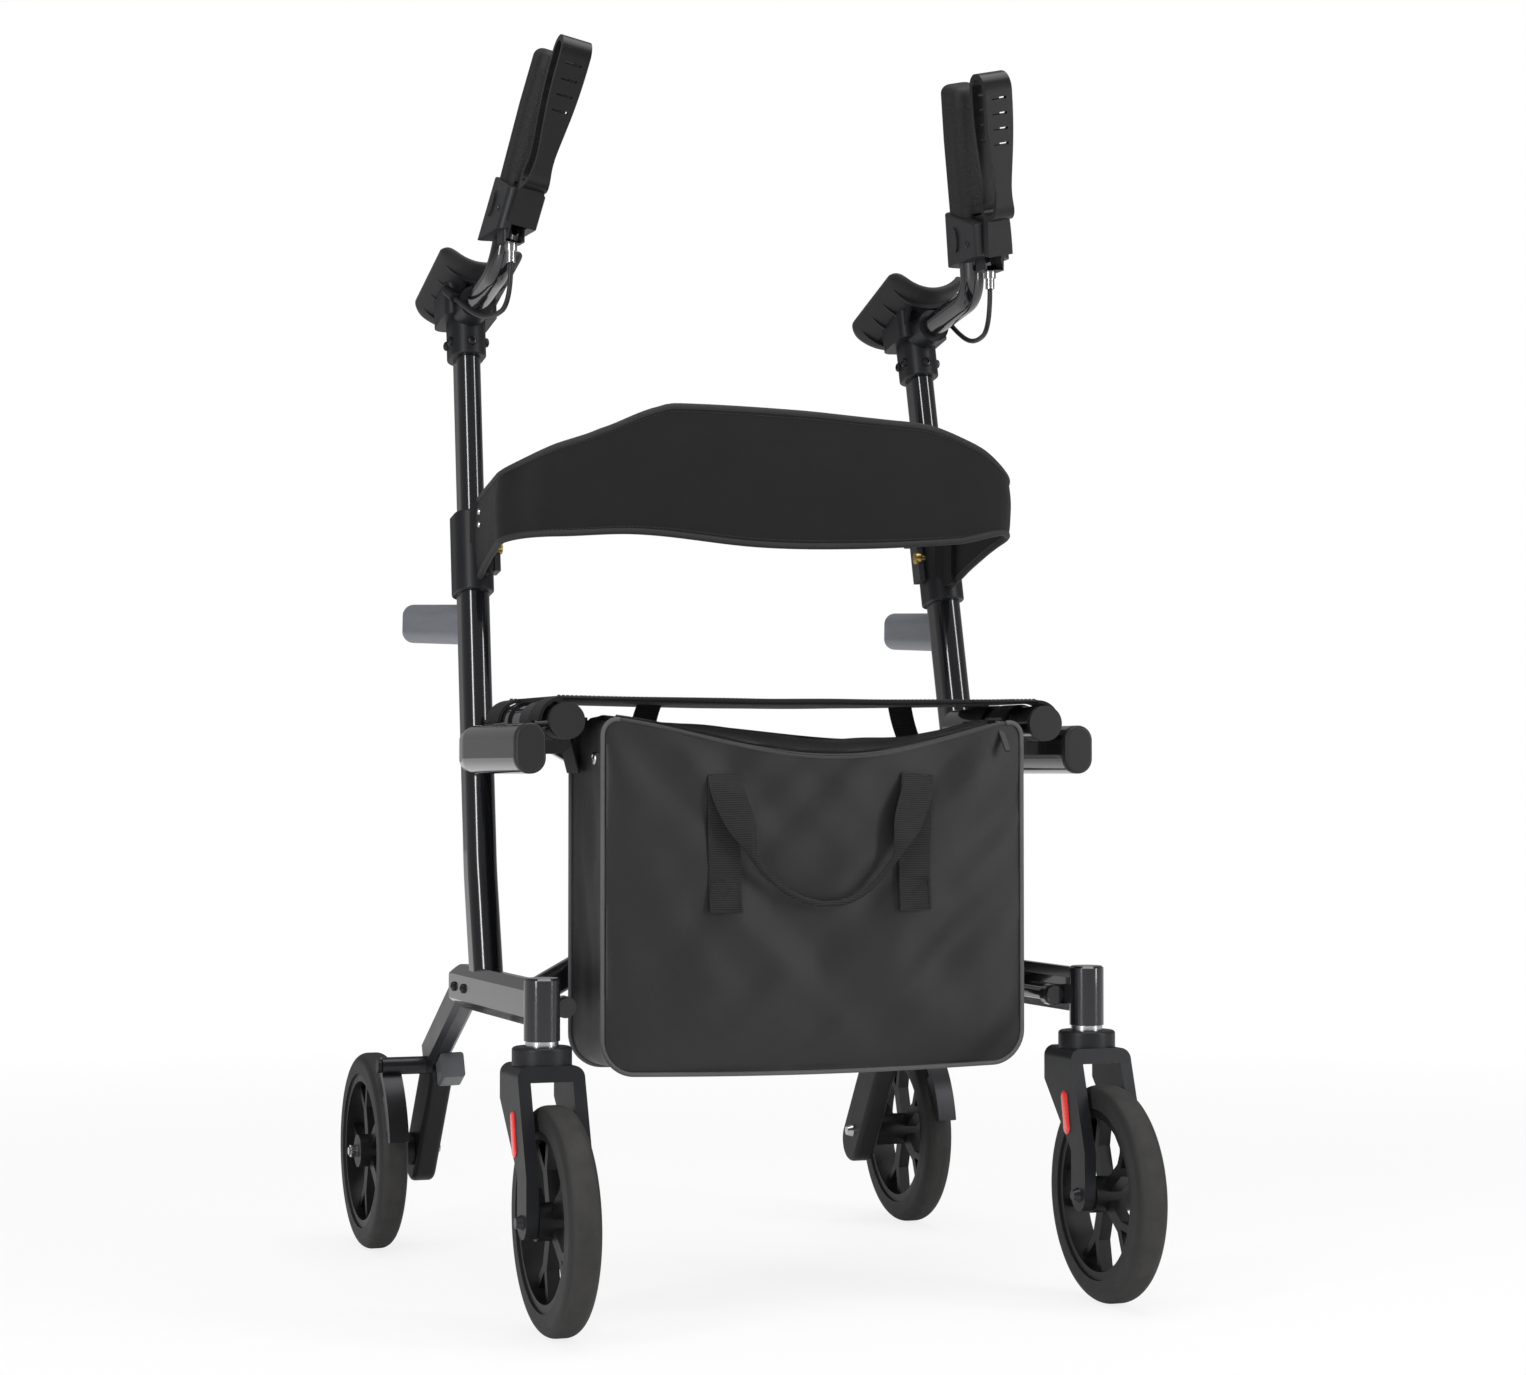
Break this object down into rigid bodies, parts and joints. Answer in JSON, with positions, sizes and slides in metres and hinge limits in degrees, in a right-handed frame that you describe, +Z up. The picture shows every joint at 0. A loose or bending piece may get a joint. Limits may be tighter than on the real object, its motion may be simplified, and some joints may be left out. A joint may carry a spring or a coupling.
{
  "type": "upright walker",
  "caption": "Folding upright walker with forearm rests, loop brake levers, a sling seat, a backrest band and a front bag on four wheels.",
  "frame": {"origin": "centre of the floor area under the walker", "axes": "+X to the user's left, the walker faces -Y, +Z up"},
  "size_m": [0.655, 0.7788, 1.1916],
  "materials": {
    "black_metal": "satin black lacquer",
    "grey_metal": "satin dark grey lacquer",
    "bare_alu": "brushed aluminium",
    "black_plastic": "matte black plastic",
    "grey_plastic": "matte dark grey plastic",
    "light_plastic": "matte light grey plastic",
    "steel": "bright plated steel",
    "tyre_rubber": "matte dark grey rubber",
    "grip_rubber": "textured black rubber",
    "fabric": "charcoal woven polyester",
    "pad_foam": "moulded black foam"
  },
  "bodies": {
    "right_frame": {"right_lower_rail": "black_metal", "right_upright": "black_metal", "right_seat_rail": "black_metal", "right_grab_peg": "light_plastic", "right_rear_leg": "grey_metal", "right_wheel_housing": "black_plastic", "right_rear_axle": "steel", "right_backrest_clamp": "black_plastic"},
    "right_mast": {"right_upper_tube": "black_metal", "right_armrest_bracket": "grey_plastic", "right_arm_pad": "pad_foam", "right_handle_tube": "black_metal", "right_grip": "grip_rubber", "right_lever_pin": "steel", "right_cable_adjuster": "steel", "right_brake_cable": "black_plastic"},
    "right_lever": {"right_brake_lever": "black_plastic"},
    "right_latch": {"right_height_latch": "black_plastic"},
    "right_caster": {"right_caster_fork": "grey_plastic", "right_caster_stem": "steel", "right_front_axle": "steel"},
    "right_front_roller": {"right_front_wheel": "black_plastic", "right_front_tyre": "tyre_rubber"},
    "right_rear_roller": {"right_rear_wheel": "black_plastic", "right_rear_tyre": "tyre_rubber"},
    "right_brake": {"right_brake_arm": "black_metal"},
    "left_frame": {"left_lower_rail": "black_metal", "left_upright": "black_metal", "left_seat_rail": "black_metal", "left_grab_peg": "light_plastic", "left_rear_leg": "grey_metal", "left_wheel_housing": "black_plastic", "left_rear_axle": "steel", "left_backrest_clamp": "black_plastic"},
    "left_mast": {"left_upper_tube": "black_metal", "left_armrest_bracket": "grey_plastic", "left_arm_pad": "pad_foam", "left_handle_tube": "black_metal", "left_grip": "grip_rubber", "left_lever_pin": "steel", "left_cable_adjuster": "steel", "left_brake_cable": "black_plastic"},
    "left_lever": {"left_brake_lever": "black_plastic"},
    "left_latch": {"left_height_latch": "black_plastic"},
    "left_caster": {"left_caster_fork": "grey_plastic", "left_caster_stem": "steel", "left_front_axle": "steel"},
    "left_front_roller": {"left_front_wheel": "black_plastic", "left_front_tyre": "tyre_rubber"},
    "left_rear_roller": {"left_rear_wheel": "black_plastic", "left_rear_tyre": "tyre_rubber"},
    "left_brake": {"left_brake_arm": "black_metal"},
    "arm_a": {"cross_arm_a": "black_metal", "cross_bolt": "steel"},
    "arm_b": {"cross_arm_b": "black_metal"},
    "left_seat": {"left_seat_tube": "black_metal", "seat_sling": "fabric", "bag": "fabric"},
    "right_seat": {"right_seat_tube": "black_metal"},
    "backrest": {"backrest": "fabric"}
  },
  "joints": [
    {"name": "fold", "type": "hinge", "parent": "right_frame", "child": "arm_a", "pos_m": [-0.242, -0.08335, 0.2845], "axis": [0, -1, 0], "range_deg": [0, 42], "deforming": ["seat_sling", "bag", "backrest"]},
    {"name": "cross_pivot", "type": "hinge", "parent": "arm_a", "child": "arm_b", "pos_m": [0, -0.08335, 0.41492], "axis": [0, -1, 0], "range_deg": [-84, 0]},
    {"name": "left_frame_pivot", "type": "hinge", "parent": "arm_b", "child": "left_frame", "pos_m": [0.242, -0.08335, 0.2845], "axis": [0, -1, 0], "range_deg": [0, 42]},
    {"name": "left_seat_pivot", "type": "hinge", "parent": "arm_a", "child": "left_seat", "pos_m": [0.2386, -0.08335, 0.5435], "axis": [0, -1, 0], "range_deg": [-42, 0]},
    {"name": "right_seat_pivot", "type": "hinge", "parent": "arm_b", "child": "right_seat", "pos_m": [-0.2386, -0.08335, 0.5435], "axis": [0, -1, 0], "range_deg": [0, 42]},
    {"name": "backrest_tilt", "type": "hinge", "parent": "right_frame", "child": "backrest", "pos_m": [-0.248, 0.0514, 0.7365], "axis": [-1, 0, 0], "range_deg": [0, 63]},
    {"name": "right_height", "type": "slide", "parent": "right_frame", "child": "right_mast", "axis": [0.024, 0.2045, 0.9786], "range_m": [-0.09, 0.1]},
    {"name": "right_height_latch", "type": "hinge", "parent": "right_frame", "child": "right_latch", "pos_m": [-0.22724, 0.08157, 0.73994], "axis": [0, -0.9788, 0.2046], "range_deg": [0, 80]},
    {"name": "right_brake_squeeze", "type": "hinge", "parent": "right_mast", "child": "right_lever", "pos_m": [-0.24393, -0.06043, 1.03242], "axis": [-0.9781, -0.0063, 0.2081], "range_deg": [0, 7], "stiffness_Nm_per_rad": 8, "springref_deg": -6.88},
    {"name": "right_brake_arm_turn", "type": "hinge", "parent": "right_frame", "child": "right_brake", "pos_m": [-0.301, 0.2094, 0.196], "axis": [1, 0, 0], "range_deg": [0, 2.4]},
    {"name": "right_caster_swivel", "type": "hinge", "parent": "right_frame", "child": "right_caster", "pos_m": [-0.269, -0.2426, 0.2565], "axis": [0, 0, 1], "continuous": true},
    {"name": "right_front_wheel_spin", "type": "hinge", "parent": "right_caster", "child": "right_front_roller", "pos_m": [-0.269, -0.2879, 0.1015], "axis": [1, 0, 0], "continuous": true},
    {"name": "right_rear_wheel_spin", "type": "hinge", "parent": "right_frame", "child": "right_rear_roller", "pos_m": [-0.301, 0.2879, 0.1015], "axis": [1, 0, 0], "continuous": true},
    {"name": "left_height", "type": "slide", "parent": "left_frame", "child": "left_mast", "axis": [-0.024, 0.2045, 0.9786], "range_m": [-0.09, 0.1]},
    {"name": "left_height_latch", "type": "hinge", "parent": "left_frame", "child": "left_latch", "pos_m": [0.22724, 0.08157, 0.73994], "axis": [0, 0.9788, -0.2046], "range_deg": [0, 80]},
    {"name": "left_brake_squeeze", "type": "hinge", "parent": "left_mast", "child": "left_lever", "pos_m": [0.24393, -0.06043, 1.03242], "axis": [-0.9781, 0.0063, -0.2081], "range_deg": [0, 7], "stiffness_Nm_per_rad": 8, "springref_deg": -6.88},
    {"name": "left_brake_arm_turn", "type": "hinge", "parent": "left_frame", "child": "left_brake", "pos_m": [0.301, 0.2094, 0.196], "axis": [1, 0, 0], "range_deg": [0, 2.4]},
    {"name": "left_caster_swivel", "type": "hinge", "parent": "left_frame", "child": "left_caster", "pos_m": [0.269, -0.2426, 0.2565], "axis": [0, 0, 1], "continuous": true},
    {"name": "left_front_wheel_spin", "type": "hinge", "parent": "left_caster", "child": "left_front_roller", "pos_m": [0.269, -0.2879, 0.1015], "axis": [1, 0, 0], "continuous": true},
    {"name": "left_rear_wheel_spin", "type": "hinge", "parent": "left_frame", "child": "left_rear_roller", "pos_m": [0.301, 0.2879, 0.1015], "axis": [1, 0, 0], "continuous": true}
  ],
  "couplings": [
    {"joint": "cross_pivot", "follows": "fold", "ratio": -2},
    {"joint": "left_frame_pivot", "follows": "fold", "ratio": 1},
    {"joint": "left_seat_pivot", "follows": "fold", "ratio": -1},
    {"joint": "right_seat_pivot", "follows": "fold", "ratio": 1},
    {"joint": "backrest_tilt", "follows": "fold", "ratio": 1.5},
    {"joint": "right_brake_arm_turn", "follows": "right_brake_squeeze", "ratio": 0.342},
    {"joint": "left_brake_arm_turn", "follows": "left_brake_squeeze", "ratio": 0.342}
  ]
}
